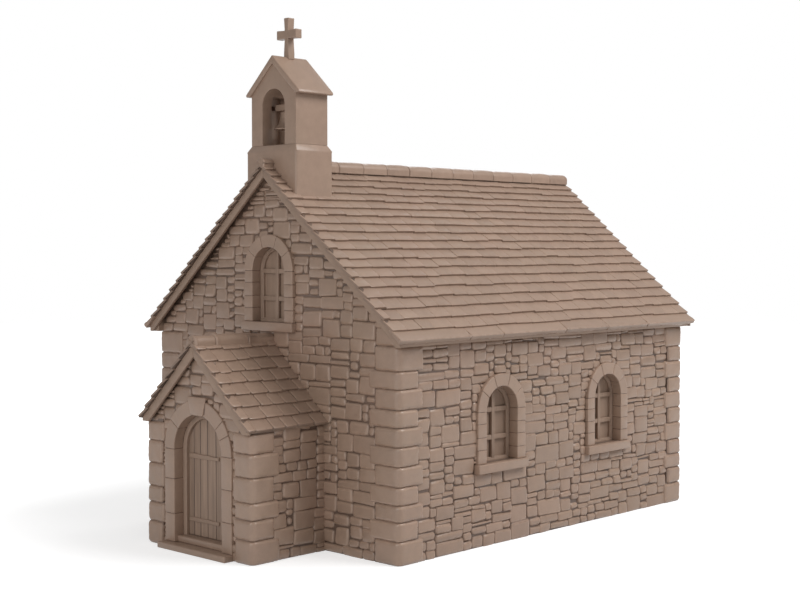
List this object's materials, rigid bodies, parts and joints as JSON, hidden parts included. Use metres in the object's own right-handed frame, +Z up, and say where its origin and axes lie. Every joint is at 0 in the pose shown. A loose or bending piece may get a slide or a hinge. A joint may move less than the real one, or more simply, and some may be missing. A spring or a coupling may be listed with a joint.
{
  "type": "chapel",
  "caption": "Small stone chapel with a gabled porch, a plank door on a hinge, a slated roof, round-headed windows and a bell-cote with a swinging bell and a cross.",
  "frame": {"origin": "ground level under the middle of the nave's plan, on the underside of the nave floor", "axes": "+Z up, +Y along the nave from the porch to the rear gable, +X to the right seen from the entrance"},
  "size_m": [6.38, 9.595, 8.619],
  "materials": {
    "rubble_stone": "rough grey-brown rubble stone in recessed mortar",
    "dressed_stone": "smooth dressed stone with softened arrises",
    "stone_slate": "split stone slates with thick butts",
    "floor_stone": "worn stone flags",
    "roof_timber": "weathered sawn timber in the same brown",
    "joinery": "weathered planks and frames in the same brown",
    "bell_metal": "dull bronze, weathered to the brown of the stone",
    "iron": "dull wrought iron"
  },
  "bodies": {
    "walls": {"bell_bearings": "iron", "bellcote_base": "dressed_stone", "bellcote_cap": "dressed_stone", "bellcote_shaft": "dressed_stone", "corner_piers": "dressed_stone", "cross": "dressed_stone", "door_frame": "joinery", "door_step": "dressed_stone", "door_surround": "dressed_stone", "eaves_boards": "roof_timber", "front_bargeboards": "roof_timber", "front_gable": "rubble_stone", "front_wall_left": "rubble_stone", "front_wall_right": "rubble_stone", "hinge_pins": "iron", "left_wall": "rubble_stone", "nave_floor": "floor_stone", "porch_bargeboards": "roof_timber", "porch_boards": "roof_timber", "porch_floor": "floor_stone", "porch_gable": "rubble_stone", "porch_pier_left": "rubble_stone", "porch_pier_right": "rubble_stone", "porch_ridge_tiles": "stone_slate", "porch_slates_left": "stone_slate", "porch_slates_right": "stone_slate", "porch_wall_left": "rubble_stone", "porch_wall_right": "rubble_stone", "rafters": "roof_timber", "rear_bargeboards": "roof_timber", "rear_wall": "rubble_stone", "ridge_beam": "roof_timber", "ridge_tiles": "stone_slate", "right_wall": "rubble_stone", "roof_boards": "roof_timber", "roof_slates_left": "stone_slate", "roof_slates_right": "stone_slate", "threshold": "dressed_stone", "window_frames": "joinery", "window_panes": "joinery", "window_sills": "dressed_stone", "window_surrounds": "dressed_stone"},
    "door": {"door_leaf": "joinery", "door_ledges": "joinery", "hinge_bands": "iron"},
    "bell": {"bell_headstock": "roof_timber", "bell": "bell_metal", "clapper": "iron"}
  },
  "joints": [
    {"name": "door_hinge", "type": "hinge", "parent": "walls", "child": "door", "pos_m": [-0.552, -5.079, 0.5], "axis": [0, 0, 1], "range_deg": [0, 88]},
    {"name": "bell_swing", "type": "hinge", "parent": "walls", "child": "bell", "pos_m": [0, -3.4265, 7.14999], "axis": [1, 0, 0], "range_deg": [-35, 35]}
  ]
}
